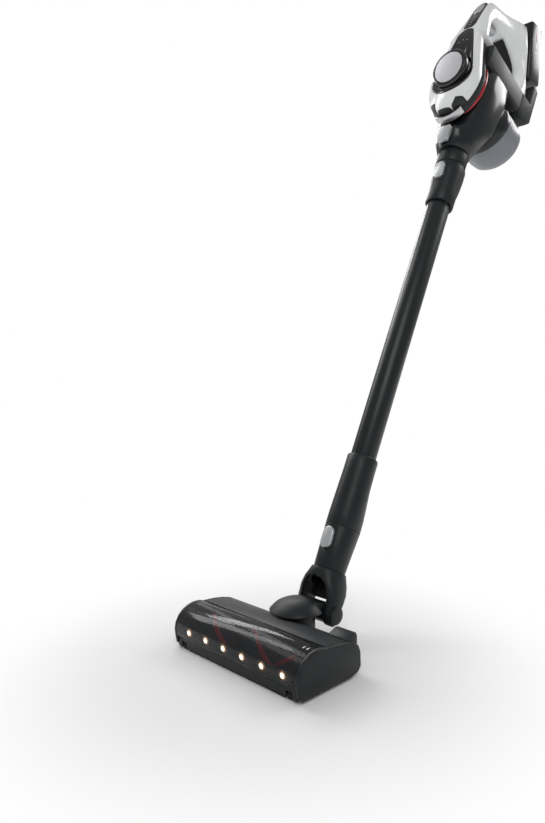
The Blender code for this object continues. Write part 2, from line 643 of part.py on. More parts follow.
def container_rings(inset=0.0):
    rows = [(CONTAINER_BOTTOM, 0.0270, 0.0310, 0.0290, 2.0), (0.800, 0.0310, 0.0380, 0.0320, 2.1),
            (0.812, 0.0350, 0.0420, 0.0370, 2.2), (0.830, 0.0400, 0.0325, 0.0440, 2.4),
            (0.850, 0.0450, 0.0318, 0.0540, 2.6), (0.875, 0.0480, 0.0315, 0.0600, 2.8),
            (0.905, 0.0490, 0.0310, CONTAINER_REAR, 3.0), (CONTAINER_TOP, 0.0480, 0.0310, CONTAINER_REAR, 3.0)]
    return [section_z(up, half - inset, front - inset, rear - inset, power) for up, half, front, rear, power in rows]


def build_container(stick, mats):
    body = finish("dust_container", loft(container_rings()), mats["smoky_dark"], stick)
    lip = turned([(0.0400, CONTAINER_REAR - 0.030), (CUP_RADIUS - 0.001, CONTAINER_REAR - 0.012),
                  (CUP_RADIUS + CUP_LIP, CONTAINER_REAR - 0.008), (CUP_RADIUS + CUP_LIP, CONTAINER_REAR)], 40)
    add(body, "cup_lip", along_y(lip, 0, CUP_UP), stick)
    inside = container_rings(CONTAINER_WALL)[2:]
    inside.append([point + Vector((0, 0, 0.05)) for point in inside[-1]])
    cut(body, "container_room", loft(inside), stick)
    cut(body, "container_inlet_bore", rod(0.0180, 0.70, 0.83, 28), stick)
    cup_hole = along_y(rod(CUP_RADIUS - 0.009, CONTAINER_REAR - 0.02, CONTAINER_REAR + 0.02, 32), 0, CUP_UP)
    cut(body, "cup_hole", cup_hole, stick)
    cut(body, "release_seat", slab_y(release_outline(GAP), -0.0325, -0.08), stick)
    return body


def release_outline(grow=0.0):
    """The tapered container button, in (x, up)."""
    top, foot, tall = RELEASE_TOP_HALF + grow, RELEASE_FOOT_HALF + grow, RELEASE_HALF_HEIGHT + grow
    return [(-top, RELEASE_UP + tall), (top, RELEASE_UP + tall), (foot, RELEASE_UP - tall), (-foot, RELEASE_UP - tall)]


def build_cyclone(stick, mats):
    """The fine mesh cone, hung by its rim from the container's mouth."""
    clear = CONTAINER_WALL + GAP
    rim = [section_z(up, 0.0480 - clear, 0.0310 - clear, CONTAINER_REAR - clear, 3.0)
           for up in (CONTAINER_TOP - 0.0035, CONTAINER_TOP - GAP)]
    cyclone = finish("cyclone_filter", loft(rim), mats["steel"], stick)
    cone = turned([(0.0210, 0.862), (0.0270, 0.900), (0.0270, CONTAINER_TOP - 0.002)], 24)
    bmesh.ops.translate(cone, vec=(0, 0.014, 0), verts=cone.verts)
    add(cyclone, "cyclone_cone", cone, stick)
    bore = turned([(0.0190, 0.864), (0.0250, 0.900), (0.0250, CONTAINER_TOP + 0.002)], 24)
    bmesh.ops.translate(bore, vec=(0, 0.014, 0), verts=bore.verts)
    cut(cyclone, "cyclone_bore", bore, stick)


def build_container_parts(stick, mats):
    outline = release_outline()
    button = loft([[Vector((x, -0.0360, z)) for x, z in outline],
                   [Vector((x, -0.0455 - (z - RELEASE_UP) * 0.25, z)) for x, z in outline]])
    finish("container_release_button", button, mats["silver"], stick, pivot=(0, -0.040, RELEASE_UP))
    wall = 0.0024
    low = CONTAINER_REAR + GAP
    high = low + CUP_DEPTH
    profile = [(CUP_RADIUS, low), (CUP_RADIUS, high - 0.020), (CUP_RADIUS - 0.0025, high - 0.009),
               (CUP_RADIUS - 0.0085, high - 0.002), (CUP_RADIUS - 0.016, high), (0.001, high),
               (0.001, high - wall), (CUP_RADIUS - 0.017, high - wall), (CUP_RADIUS - 0.0105, high - 0.0042),
               (CUP_RADIUS - 0.0052, high - 0.0105), (CUP_RADIUS - wall, high - 0.021), (CUP_RADIUS - wall, low)]
    cup = turned(profile[:6], 40)
    cup = finish("dust_cup", along_y(cup, 0, CUP_UP), mats["clear"], stick, pivot=(0, low, CUP_UP))
    inner = profile[11:12] + profile[10:6:-1]
    hollow = turned([(inner[0][0], low - 0.02)] + inner, 40)
    cut(cup, "cup_room", along_y(hollow, 0, CUP_UP), stick)
    ring = tube(CUP_RADIUS - 0.0096, CUP_RADIUS - 0.0130, low - 0.010, low + 0.004, 36)
    finish("cup_seal", along_y(ring, 0, CUP_UP), mats["rubber"], stick)
    build_cyclone(stick, mats)
    pipe = turned([(SPIGOT_RADIUS, INLET_SEAM - SPIGOT_LENGTH), (SPIGOT_RADIUS, INLET_SEAM), (0.0262, INLET_SEAM),
                   (0.0262, CONTAINER_BOTTOM - GAP), (SPIGOT_BORE, CONTAINER_BOTTOM - GAP),
                   (SPIGOT_BORE, INLET_SEAM - SPIGOT_LENGTH)], 32, ring=True)
    finish("inlet_pipe", pipe, mats["black"], stick)


# ---------------------------------------------------------------- hand unit

def front_surface(x, up):
    """How far the hand unit's front stands out at a place: its centre line, crowned across."""
    line = [(0.80, 0.050), (0.835, 0.062), (0.868, 0.0700), (0.905, 0.0745), (0.945, 0.0755), (0.985, 0.0705),
            (1.015, 0.0635), (1.060, 0.0530), (1.110, 0.0400)]
    for (low, a), (high, b) in zip(line, line[1:]):
        if up <= high:
            break
    centre = a + (b - a) * (up - low) / (high - low)
    crown = 0.081
    return centre - (crown - math.sqrt(crown * crown - x * x))


def teardrop(offset, steps=40):
    """Outline of the black top panel, in (x, up), grown by offset."""
    lower = DISC_RADIUS + PANEL_RIM + offset
    upper = 0.0165 + offset
    tip = 0.998
    angle = math.asin((lower - upper) / (tip - DISC_UP))
    points = []
    for i in range(steps):
        share = i / steps
        if share < 0.5:
            turn = math.pi - angle + (math.pi + 2 * angle) * share * 2
            points.append((lower * math.cos(turn), DISC_UP - 0.006 + lower * math.sin(turn)))
        else:
            turn = angle + (math.pi - 2 * angle) * (share - 0.5) * 2
            points.append((upper * math.cos(turn), tip + upper * math.sin(turn)))
    return points


def crowned_ring(outline, drop):
    return [Vector((x, -(front_surface(x, up) - drop), up)) for x, up in outline]


def flat_ring(outline, front):
    return [Vector((x, -front, up)) for x, up in outline]


def white_band_outline(scale=1.0, steps=40):
    """Outer edge of the white front shell: an egg round the panel, stretched at its foot."""
    lower, upper, tip, heart = BAND_RADIUS, 0.0290, 0.9930, BAND_HEART
    lean = math.asin((lower - upper) / (tip - heart))
    points = []
    for i in range(steps):
        share = 2 * i / steps
        if share < 1:
            turn = math.pi - lean + (math.pi + 2 * lean) * share
            x, up = lower * math.cos(turn), lower * math.sin(turn)
            up *= BAND_FOOT / lower if up < 0 else 1.0
        else:
            turn = lean + (math.pi - 2 * lean) * (share - 1)
            x, up = upper * math.cos(turn), tip - heart + upper * math.sin(turn)
        points.append((x * scale, heart + up * scale))
    return points


def front_body():
    """The whole crowned front, round the panel, before it is split into white shell and dark foot."""
    skirt = crowned_ring(white_band_outline(), 0.012)
    for point in skirt:
        point.y = min(point.y, -FRONT_BACK - GAP)
    rings = [flat_ring(white_band_outline(0.985), FRONT_BACK), skirt,
             crowned_ring(white_band_outline(0.985), 0.002), crowned_ring(white_band_outline(0.955), 0.0),
             crowned_ring(teardrop(0.0006), 0.0), crowned_ring(teardrop(0.0006), 0.0075),
             flat_ring(teardrop(-0.0040), FRONT_BACK)]
    return loft(rings, cyclic=True)


def foot_region(towards, lift=0.0):
    """Everything on one side of the stepped line between the white shell and its dark foot."""
    outline = [(x, up + lift) for x, up in FOOT_LINE]
    outline += [(FOOT_LINE[-1][0], towards), (FOOT_LINE[0][0], towards)]
    return slab_y(outline, 0.0, -0.2)


def build_front(stick, mats):
    shell = finish("handle_shell", front_body(), mats["white"], stick)
    cut(shell, "foot_cut", foot_region(0.75), stick)
    foot = finish("front_frame", front_body(), mats["dark_grey"], stick)
    cut(foot, "shell_side_cut", foot_region(1.20, -GAP), stick)
    panel = loft([crowned_ring(teardrop(0.0002), 0.0065), crowned_ring(teardrop(0.0002), 0.0008),
                  crowned_ring(teardrop(-0.0010), 0.0)])
    bmesh.ops.triangulate(panel, faces=[f for f in panel.faces if len(f.verts) > 4])
    panel = finish("top_panel", panel, mats["gloss_black"], stick)
    return shell, panel


def loop_rows():
    """The handle loop as (outer up, outer front, inner up, inner front, half width) stations."""
    return [(1.000, 0.0660, 1.000, 0.0330, 0.0350), (1.030, 0.0595, 1.022, 0.0300, 0.0290),
            (1.060, 0.0525, 1.045, 0.0270, 0.0230), (1.083, 0.0470, 1.063, 0.0210, 0.0200),
            (1.098, 0.0370, 1.072, 0.0110, 0.0190), (1.107, 0.0160, 1.074, -0.0070, 0.0190),
            (1.117, -0.0080, 1.073, -0.0250, 0.0200), (1.128, -0.0300, 1.068, -0.0440, 0.0230),
            (1.137, -0.0480, 1.062, -0.0600, 0.0275), (1.1415, -0.0615, 1.056, -0.0720, 0.0320),
            (1.115, -0.0716, 1.047, -0.0800, 0.0340), (1.075, -0.0857, 1.034, -0.0850, 0.0350),
            (1.040, -0.0978, 1.022, -0.0880, 0.0350), (1.012, -0.1110, 1.007, -0.0860, 0.0360),
            (0.992, -0.1120, 0.9975, -0.0780, 0.0390), (LOOP_FOOT, -0.0850, LOOP_FOOT + LOOP_ARM, -0.0600, 0.0400),
            (LOOP_FOOT, -0.0450, LOOP_FOOT + LOOP_ARM, -0.0350, 0.0400),
            (LOOP_FOOT, -0.0100, LOOP_FOOT + LOOP_ARM, -0.0050, 0.0400),
            (LOOP_FOOT, 0.0300, LOOP_FOOT + LOOP_ARM, 0.0200, 0.0390)]


def handle_loop():
    rings = []
    for outer_up, outer_front, inner_up, inner_front, half in loop_rows():
        outer = Vector((0, -outer_front, outer_up))
        inner = Vector((0, -inner_front, inner_up))
        middle, reach = (outer + inner) / 2, (outer - inner) / 2
        ring = [Vector((x, 0, 0)) + middle + reach * share for x, share in squircle(half, 1.0, 3.4, 20)]
        rings.append(ring)
    return loft(rings, cyclic=True)


def battery_frame(stick):
    return empty("battery_frame", (0, -BATTERY_FRONT, BATTERY_UP), (BATTERY_TILT, 0, 0), stick)


def build_handle(shell, stick, mats):
    add(shell, "loop_solid", handle_loop(), stick)
    pocket = teardrop(0.0006)
    cut(shell, "panel_pocket", loft([crowned_ring(pocket, 0.0075), crowned_ring(pocket, -0.0200)]), stick)
    pill = [(x, (PILL_LOW + PILL_HIGH) / 2 + z) for x, z in capsule(PILL_HALF_WIDTH + GAP, (PILL_HIGH - PILL_LOW) / 2 + GAP)]
    cut(shell, "pill_seat", loft([crowned_ring(pill, 0.0022), [p + Vector((0, -0.02, 0)) for p in crowned_ring(pill, 0)]]), stick)
    cut(shell, "trigger_pocket", box((-0.0083, -0.0245, 1.02), (0.0083, 0.0035, 1.0930)), stick)
    cut(shell, "filter_room", tilted(rod(DISC_RADIUS + 0.0045, -0.06, 0.02, 36)), stick)
    pill = [(x, (PILL_LOW + PILL_HIGH) / 2 + z) for x, z in capsule(PILL_HALF_WIDTH, (PILL_HIGH - PILL_LOW) / 2)]
    plate = loft([crowned_ring(pill, 0.0019), crowned_ring(pill, -0.0002)])
    bmesh.ops.triangulate(plate, faces=[f for f in plate.faces if len(f.verts) > 4])
    plate = finish("control_panel", plate, mats["gloss_black"], stick)
    button_up = PILL_HIGH - 0.0185
    seat = [(x, button_up + z) for x, z in capsule(0.0088, 0.0145)]
    cut(plate, "mode_hole", slab_y(seat, 0.0, -0.1), stick)
    cut(shell, "mode_seat", loft([crowned_ring(seat, 0.0050), [p + Vector((0, -0.02, 0)) for p in crowned_ring(seat, 0)]]), stick)
    outline = [(x, button_up + z) for x, z in capsule(0.0085, 0.0142)]
    button = loft([crowned_ring(outline, 0.0034), crowned_ring(outline, -0.0006),
                   crowned_ring([(x * 0.85, button_up + (z - button_up) * 0.9) for x, z in outline], -0.0012)])
    bmesh.ops.triangulate(button, faces=[f for f in button.faces if len(f.verts) > 4])
    finish("mode_button", button, mats["silver"], stick, pivot=(0, -0.045, button_up))
    trigger = prism_x([(-0.0242, 1.0880), (-0.0242, 1.0520), (-0.0190, 1.0480), (-0.0110, 1.0540), (-0.0040, 1.0590),
                       (0.0032, 1.0610), (0.0032, 1.0880)], -0.0080, 0.0080)
    finish("trigger", trigger, mats["light_grey"], stick, pivot=(0, -0.010, 1.060))


def tilted(bm):
    """Moves a shape turned about Z to the disc's tilted axis; its +Z then points out of the front."""
    turn = Matrix.Rotation(math.pi / 2 + DISC_TILT, 4, "X")
    bm.transform(Matrix.Translation((0, -DISC_FRONT, DISC_UP)) @ turn)
    return bm


def build_filter(panel, stick, mats):
    pivot = (0, -DISC_FRONT, DISC_UP)
    cut(panel, "panel_hole", tilted(rod(DISC_RADIUS + 0.0045, -0.06, 0.02, 36)), stick)
    cap = turned([(DISC_RADIUS + 0.0040, -0.0120), (DISC_RADIUS + 0.0040, -0.0030), (DISC_RADIUS + 0.0020, -0.0006),
                  (DISC_RADIUS + 0.0003, -0.0002), (DISC_RADIUS, 0.0), (0.004, 0.0)], 40)
    finish("filter_cap", tilted(cap), mats["silver"], stick, pivot=pivot)
    pleats = []
    steps = 36
    for height in (-0.0290, -0.0125):
        ring = []
        for i in range(steps):
            radius = DISC_RADIUS if i % 2 else DISC_RADIUS - 0.0028
            angle = 2 * math.pi * i / steps
            ring.append(Vector((radius * math.cos(angle), radius * math.sin(angle), height)))
        pleats.append(ring)
    finish("exhaust_filter", tilted(loft(pleats)), mats["filter"], stick)


def build_ring_housing(stick, mats):
    """The dark round casing behind the white front, and the red flashes behind that."""
    rows = [(FRONT_BACK - GAP, 0.985), (FRONT_BACK - 0.004, 1.03), (RING_BACK + 0.004, 1.045), (RING_BACK, 1.02)]
    rings = []
    for front, scale in rows:
        outline = [(x, min(up, HOUSING_TOP + 0.0006)) for x, up in white_band_outline(scale)]
        rings.append(flat_ring(outline, front))
    ring = finish("front_housing", loft(rings), mats["dark_grey"], stick)
    cut(ring, "filter_cavity", tilted(rod(DISC_RADIUS + 0.0010, -0.06, 0.02, 32)), stick)
    for name, side in SIDES:
        low_ring, high_ring = [], []
        steps = 14
        for i in range(steps + 1):
            angle = math.radians(-62 + 84 * i / steps)
            width = 0.0008 + 0.0042 * math.sin(math.pi * i / steps)
            for rings_of, extra in ((low_ring, 0.0), (high_ring, width)):
                x, z = side * math.cos(angle) * BAND_RADIUS * 1.036, BAND_HEART + math.sin(angle) * BAND_FOOT
                rings_of.append((x, z, RING_BACK - GAP - extra))
        rings = []
        for (x, z, front), (_, _, rear) in zip(low_ring, high_ring):
            inward = Vector((x, 0, (z - BAND_HEART) * 0.5)).normalized() * -0.0024
            a, b = Vector((x, -front, z)), Vector((x, -rear, z))
            rings.append([a, b, b + inward, a + inward])
        finish("red_trim_" + name, loft(rings), mats["red"], stick)


def build_motor_housing(stick, mats):
    low = CONTAINER_TOP + RUNNING_GAP
    top = HOUSING_TOP
    outline = squircle(HOUSING_HALF_WIDTH, (top - low) / 2, 12.0, 32)
    middle = (top + low) / 2
    rings = [[Vector((x, y, middle + z)) for x, z in outline] for y in (-RING_BACK + GAP, HOUSING_REAR)]
    housing = finish("motor_housing", loft(rings), mats["dark_grey"], stick)
    cut(housing, "motor_bore", along_y(rod(MOTOR_RADIUS + GAP, -0.05, 0.1, 32), 0, MOTOR_UP), stick)
    motor = along_y(rod(MOTOR_RADIUS, 0.000, 0.050, 32), 0, MOTOR_UP)
    motor = finish("suction_motor", motor, mats["steel"], stick)
    add(motor, "motor_shaft_stub", along_y(rod(0.0025, -0.018, 0.001, 12), 0, MOTOR_UP), stick)
    blades = [along_y(tube(0.0060, 0.0025 + GAP, -0.0150, -0.0040, 16), 0, MOTOR_UP)]
    fan = finish("motor_fan", blades[0], mats["silver"], stick, pivot=(0, 0, MOTOR_UP))
    for k in range(7):
        blade = box((-0.0006, -0.0145, 0.0050), (0.0006, -0.0045, MOTOR_RADIUS - 0.0015))
        blade.transform(Matrix.Translation((0, 0, MOTOR_UP)) @ Matrix.Rotation(2 * math.pi * k / 7, 4, "Y"))
        add(fan, f"fan_blade_{k}", blade, stick)
    board = box((-0.030, 0.0870, GRILLE_FLOOR + GAP), (0.030, 0.1200, GRILLE_FLOOR + 0.0019))
    finish("control_board", board, mats["board"], stick)


def build_grille(stick, mats):
    rear, notch = GRILLE_REAR, 0.1135
    outline = [(HOUSING_REAR + GAP, CONTAINER_TOP + RUNNING_GAP), (rear - 0.008, CONTAINER_TOP + RUNNING_GAP), (rear, 0.954),
               (rear + 0.001, 1.024), (rear - 0.006, 1.031), (notch + 0.002, 1.031), (notch, 1.028),
               (notch, HOUSING_TOP), (HOUSING_REAR + GAP, HOUSING_TOP)]
    grille = finish("rear_grille", prism_x(outline, -0.0450, 0.0450), mats["black"], stick)
    bevel = grille.modifiers.new("soft_edges", "BEVEL")
    bevel.width = 0.004
    bevel.segments = 2
    bevel.limit_method = "ANGLE"
    bevel.angle_limit = math.radians(50)
    cut(grille, "grille_room", box((-0.036, 0.080, GRILLE_FLOOR), (0.036, 0.124, 0.980)), stick)
    for row in range(5):
        z = 0.957 + row * 0.005
        cut(grille, f"vent_{row}", box((-0.032, 0.12, z), (0.032, 0.14, z + 0.0025)), stick)


def build_battery(frame, mats):
    half = Vector((BATTERY_HALF_WIDTH, BATTERY_THICKNESS / 2, BATTERY_LENGTH / 2))
    pack = finish("battery_pack", box(-half, half, 0.005), mats["gloss_black"], frame)
    cut(pack, "battery_button_seat", box((-0.0123, -0.0103, half.z - 0.0060), (0.0123, 0.0103, half.z + 0.02)), frame)
    button = box((-0.012, -0.010, half.z - 0.0025), (0.012, 0.010, half.z + 0.0015), 0.0008)
    finish("battery_release_button", button, mats["red"], frame, pivot=(0, 0, half.z))


def build_grip(stick, mats):
    """The soft insert inside the loop: under the grip and down its rear corner."""
    path = [Vector((row[3], row[2])) for row in loop_rows()[6:14]]
    half = 0.0022
    rings = []
    for i, point in enumerate(path):
        along = (path[min(i + 1, len(path) - 1)] - path[max(i - 1, 0)]).normalized()
        inward = Vector((-along.y, along.x))
        ring = []
        for x, depth in squircle(GRIP_INSERT_HALF, half, 3.0, 16):
            place = point + inward * (half + 2 * GAP + depth)
            ring.append(Vector((x, -place.x, place.y)))
        rings.append(ring)
    finish("grip_insert", loft(rings), mats["rubber"], stick)


def build_front_step(stick, mats):
    """The silver step under the dark foot: a short arc."""
    rings = []
    for i in range(13):
        turn = math.radians(-113 + 56 * i / 12)
        ring = []
        for scale, front in ((1.038, 0.0405), (1.038, 0.0500), (1.075, 0.0530), (1.120, 0.0490), (1.120, 0.0405)):
            x, up = BAND_RADIUS * math.cos(turn), BAND_FOOT * math.sin(turn)
            ring.append(Vector((x * scale, -front, BAND_HEART + up * scale)))
        rings.append(ring)
    finish("front_step", loft(rings), mats["silver"], stick)


def build_materials():
    material("guide", (0.5, 0.5, 0.5), 0.5)
    return {
        "black": material("black_plastic", (0.016, 0.018, 0.020), 0.42),
        "gloss_black": material("gloss_black", (0.008, 0.009, 0.010), 0.12),
        "dark_grey": material("dark_grey_plastic", (0.045, 0.048, 0.048), 0.45),
        "white": material("white_shell", (0.86, 0.87, 0.87), 0.18),
        "light_grey": material("light_grey_plastic", (0.55, 0.56, 0.56), 0.40),
        "silver": material("silver_lacquer", (0.62, 0.62, 0.64), 0.32, 0.6),
        "red": material("red_trim", (0.55, 0.02, 0.04), 0.30),
        "smoky": material("smoky_clear", (0.05, 0.055, 0.06), 0.08, alpha=0.45),
        "smoky_dark": material("smoky_dark", (0.02, 0.022, 0.025), 0.10),
        "clear": material("grey_clear", (0.35, 0.36, 0.39), 0.15, alpha=0.6),
        "tube": material("black_tube", (0.014, 0.016, 0.018), 0.38, 0.4),
        "steel": material("steel", (0.5, 0.5, 0.5), 0.35, 1.0),
        "rubber": material("black_rubber", (0.02, 0.02, 0.02), 0.75),
        "tyre": material("wheel_rubber", (0.03, 0.03, 0.03), 0.8),
        "bristle": material("bristle", (0.05, 0.05, 0.06), 0.7),
        "felt": material("felt", (0.06, 0.06, 0.06), 0.9),
        "filter": material("filter_fleece", (0.75, 0.75, 0.72), 0.9),
        "board": material("circuit_board", (0.02, 0.09, 0.04), 0.5),
        "lamp": material("lamp_lens", (0.95, 0.88, 0.75), 0.1),
    }


def main():
    clear_scene()
    mats = build_materials()
    layout = empty("layout", (0, LAYOUT_Y, 0))
    stick = empty("stick_frame", (0, 0, STICK_ORIGIN_HEIGHT), (-LEAN, 0, 0), layout)
    hinge = (HINGE_UP * math.sin(LEAN), STICK_ORIGIN_HEIGHT + HINGE_UP * math.cos(LEAN))
    build_nozzle_base(mats)
    build_cover(mats)
    build_deck(mats)
    build_end_cap("end_cap_left", -1, mats)
    build_end_cap("end_cap_right", 1, mats)
    build_brush(mats)
    build_nozzle_drive(mats)
    build_lights(mats)
    build_running_gear(mats)
    build_turret(hinge, mats)
    build_cuff(stick, mats)
    build_pivot_pins(stick, mats)
    build_neck(stick, mats)
    build_wand(stick, mats)
    upper = empty("upper_frame", (0, 0, UPPER_RISE), parent=stick)
    build_upper_collar(upper, mats)
    build_container(upper, mats)
    build_container_parts(upper, mats)
    shell, panel = build_front(upper, mats)
    build_handle(shell, upper, mats)
    build_filter(panel, upper, mats)
    build_ring_housing(upper, mats)
    build_motor_housing(upper, mats)
    build_grille(upper, mats)
    build_battery(battery_frame(upper), mats)
    build_grip(upper, mats)
    build_front_step(upper, mats)


main()
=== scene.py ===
"""Looks of the cordless stick vacuum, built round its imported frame."""

import json
import math

import bmesh
import bpy
from mathutils import Matrix, Vector


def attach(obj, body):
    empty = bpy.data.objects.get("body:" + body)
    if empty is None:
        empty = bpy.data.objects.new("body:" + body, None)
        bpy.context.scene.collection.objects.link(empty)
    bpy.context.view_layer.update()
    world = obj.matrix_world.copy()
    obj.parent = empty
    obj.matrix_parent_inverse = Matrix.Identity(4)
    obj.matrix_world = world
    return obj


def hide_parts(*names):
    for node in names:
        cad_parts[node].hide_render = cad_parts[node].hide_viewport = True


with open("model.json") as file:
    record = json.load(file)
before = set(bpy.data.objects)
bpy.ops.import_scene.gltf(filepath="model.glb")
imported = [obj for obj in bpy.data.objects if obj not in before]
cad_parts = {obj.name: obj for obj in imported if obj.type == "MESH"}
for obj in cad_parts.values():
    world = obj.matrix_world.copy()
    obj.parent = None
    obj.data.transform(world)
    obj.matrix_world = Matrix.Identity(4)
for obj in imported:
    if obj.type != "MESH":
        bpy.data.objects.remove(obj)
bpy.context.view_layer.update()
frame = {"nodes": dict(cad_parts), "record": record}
NODES = frame["nodes"]
BODY_OF = {}
for body_name, members in frame["record"]["behaviour"]["bodies"].items():
    for member in members:
        BODY_OF[member] = body_name

LAYOUT_Y = -0.2295
LEAN = math.radians(27.6)
STICK = Matrix.Translation((0, LAYOUT_Y, 0.050)) @ Matrix.Rotation(-LEAN, 4, "X")
DISC = STICK @ Matrix.Translation((0, -0.081, 0.912)) @ Matrix.Rotation(math.pi / 2 + math.radians(14.4), 4, "X")
BATTERY = STICK @ Matrix.Translation((0, 0.102, 1.0985)) @ Matrix.Rotation(math.radians(18.7), 4, "X")
ROLLER = Matrix.Translation((0, LAYOUT_Y - 0.133, 0.0245))
LAMP_PITCH = 0.037
LAMP_UP = 0.0265
CAP_FACE_RADIUS = 0.0262
BRISTLE_WIND = 36.1        # radians a metre along the roller
BRISTLE_THICK = 0.0062
STRIP_APEX = 0.060         # where the two bristle spirals meet
PACK_SIDE = 0.0375         # half the battery's width
STUD_PITCH = 0.0034
SHADOW_KEPT, SHADOW_GONE = 0.15, 0.42


# ------------------------------------------------------------------ shader maths

class Value:
    """A number that varies over a surface. Arithmetic on it adds Math nodes."""

    def __init__(self, shade, socket):
        self.shade = shade
        self.socket = socket

    def math(self, operation, *others):
        return self.shade.node("Math", {"operation": operation}, dict(enumerate((self, *others))))

    def __add__(self, other):
        return self.math("ADD", other)

    __radd__ = __add__

    def __sub__(self, other):
        return self.math("SUBTRACT", other)

    def __rsub__(self, other):
        return self.shade.node("Math", {"operation": "SUBTRACT"}, {0: other, 1: self})

    def __mul__(self, other):
        return self.math("MULTIPLY", other)

    __rmul__ = __mul__

    def __truediv__(self, other):
        return self.math("DIVIDE", other)


class Shade:
    """One material. Its node method adds any node from its settings and its inputs."""

    def __init__(self, name, colour, rough, **fixed):
        self.mat = bpy.data.materials.new(name)
        self.mat.use_nodes = True
        self.tree = self.mat.node_tree
        self.shader = self.tree.nodes["Principled BSDF"]
        self.set("Base Color", (*colour, 1.0))
        self.set("Roughness", rough)
        for socket, value in fixed.items():
            self.set(socket.replace("_", " ").title().replace("Ior", "IOR"), value)

    def set(self, socket, value):
        target = self.shader.inputs[socket]
        if isinstance(value, Value):
            self.tree.links.new(value.socket, target)
        else:
            target.default_value = value

    def node(self, kind, settings=None, inputs=None, out=0):
        node = self.tree.nodes.new("ShaderNode" + kind)
        for name, value in (settings or {}).items():
            if name == "stops":
                self.stops(node, value)
            else:
                setattr(node, name, value)
        for key, value in (inputs or {}).items():
            if isinstance(value, Value):
                self.tree.links.new(value.socket, node.inputs[key])
            else:
                node.inputs[key].default_value = value
        return Value(self, node.outputs[out])

    def stops(self, node, stops):
        elements = node.color_ramp.elements
        while len(elements) < len(stops):
            elements.new(0.5)
        for element, (place, colour) in zip(elements, stops):
            element.position = place
            element.color = colour if len(colour) == 4 else (*colour, 1.0)

    def place(self, matrix=None):
        """Object coordinates, seen from the frame that matrix gives."""
        where = self.node("TexCoord", out="Object")
        if matrix is None:
            return where
        loc, rot, _ = matrix.decompose()
        moved = self.node("VectorMath", {"operation": "SUBTRACT"}, {0: where, 1: loc})
        turn = rot.inverted().to_euler()
        return self.node("Mapping", {"vector_type": "POINT"}, {"Vector": moved, "Rotation": turn})

    def axes(self, matrix=None):
        split = self.node("SeparateXYZ", inputs={0: self.place(matrix)})
        source = split.socket.node
        return [Value(self, source.outputs[i]) for i in range(3)]

    def noise(self, scale, detail=3.0, where=None, rough=0.55):
        return self.node("TexNoise", inputs={"Vector": where or self.place(), "Scale": scale, "Detail": detail,
                                             "Roughness": rough})

    def ramp(self, value, *stops):
        return self.node("ValToRGB", {"stops": stops}, {0: value})

    def smooth(self, value, low, high, to_low=0.0, to_high=1.0):
        return self.node("MapRange", {"interpolation_type": "SMOOTHSTEP"},
                         {"Value": value, "From Min": low, "From Max": high, "To Min": to_low, "To Max": to_high})

    def mix(self, factor, a, b):
        """A colour between a and b."""
        a = a if isinstance(a, Value) else (*a, 1.0)
        b = b if isinstance(b, Value) else (*b, 1.0)
        return self.node("Mix", {"data_type": "RGBA"}, {0: factor, 6: a, 7: b}, out=2)

    def bump(self, height, strength=0.2, distance=0.0002):
        self.set("Normal", self.node("Bump", inputs={"Height": height, "Strength": strength, "Distance": distance}))

    def paint(self, obj):
        slots = obj.data.materials
        slots.clear()
        slots.append(self.mat)
        return obj


def moulded(name, colour, rough, grain=1400.0, strength=0.12, spread=0.12, **fixed):
    """Moulded plastic: a fine spark-eroded grain, faint flow marks and a little dust in the low gloss."""
    shade = Shade(name, colour, rough, **fixed)
    fine = shade.noise(grain, 2.0)
    broad = shade.noise(22.0, 3.0)
    tone = shade.mix(broad, [c * (1 - spread) for c in colour], [min(1.0, c * (1 + spread)) for c in colour])
    shade.set("Base Color", tone)
    shade.set("Roughness", shade.smooth(broad * 0.6 + fine * 0.4, 0.3, 0.7, rough - 0.05, rough + 0.06))
    shade.bump(fine, strength, 0.00012)
    return shade


def glossy(name, colour, rough=0.07, **fixed):
    """Polished plastic: faint waviness and hair scratches under a clear surface."""
    shade = Shade(name, colour, rough, **fixed)
    wave = shade.noise(35.0, 2.0)
    hair = shade.node("TexNoise", inputs={"Vector": shade.node("Mapping", inputs={"Vector": shade.place(),
                      "Scale": (60.0, 900.0, 90.0)}), "Scale": 6.0, "Detail": 4.0})
    shade.set("Roughness", shade.smooth(hair, 0.42, 0.75, rough, rough + 0.07))
    tone = shade.mix(wave, [c * 0.93 for c in colour], [min(1.0, c * 1.05) for c in colour])
    shade.set("Base Color", tone)
    shade.bump(wave, 0.05, 0.0004)
    return shade


def lacquer(name, colour, rough, metallic=0.75, flake=2600.0):
    """Silver lacquer on plastic: fine flakes that catch the light one by one."""
    shade = Shade(name, colour, rough, coat_weight=0.3, coat_roughness=0.12)
    flakes = shade.node("TexVoronoi", inputs={"Vector": shade.place(), "Scale": flake}, out="Color")
    tint = shade.node("SeparateColor", inputs={0: flakes})
    shade.set("Base Color", shade.mix(tint, [c * 0.86 for c in colour], [min(1.0, c * 1.10) for c in colour]))
    shade.set("Metallic", metallic)
    shade.set("Roughness", shade.smooth(shade.noise(60.0), 0.35, 0.65, rough - 0.04, rough + 0.05))
    shade.bump(tint, 0.10, 0.00008)
    return shade


def brushed(name, colour, rough, axis=0):
    """Bare metal with fine lines along one axis."""
    shade = Shade(name, colour, rough, metallic=1.0)
    scale = [1500.0, 1500.0, 1500.0]
    scale[axis] = 25.0
    lines = shade.node("TexNoise", inputs={"Vector": shade.node("Mapping", inputs={"Vector": shade.place(),
                       "Scale": scale}), "Scale": 1.0, "Detail": 3.0})
    shade.set("Roughness", shade.smooth(lines, 0.3, 0.7, rough - 0.08, rough + 0.10))
    shade.bump(lines, 0.15, 0.00008)
    return shade


# ------------------------------------------------------------------ modelling helpers

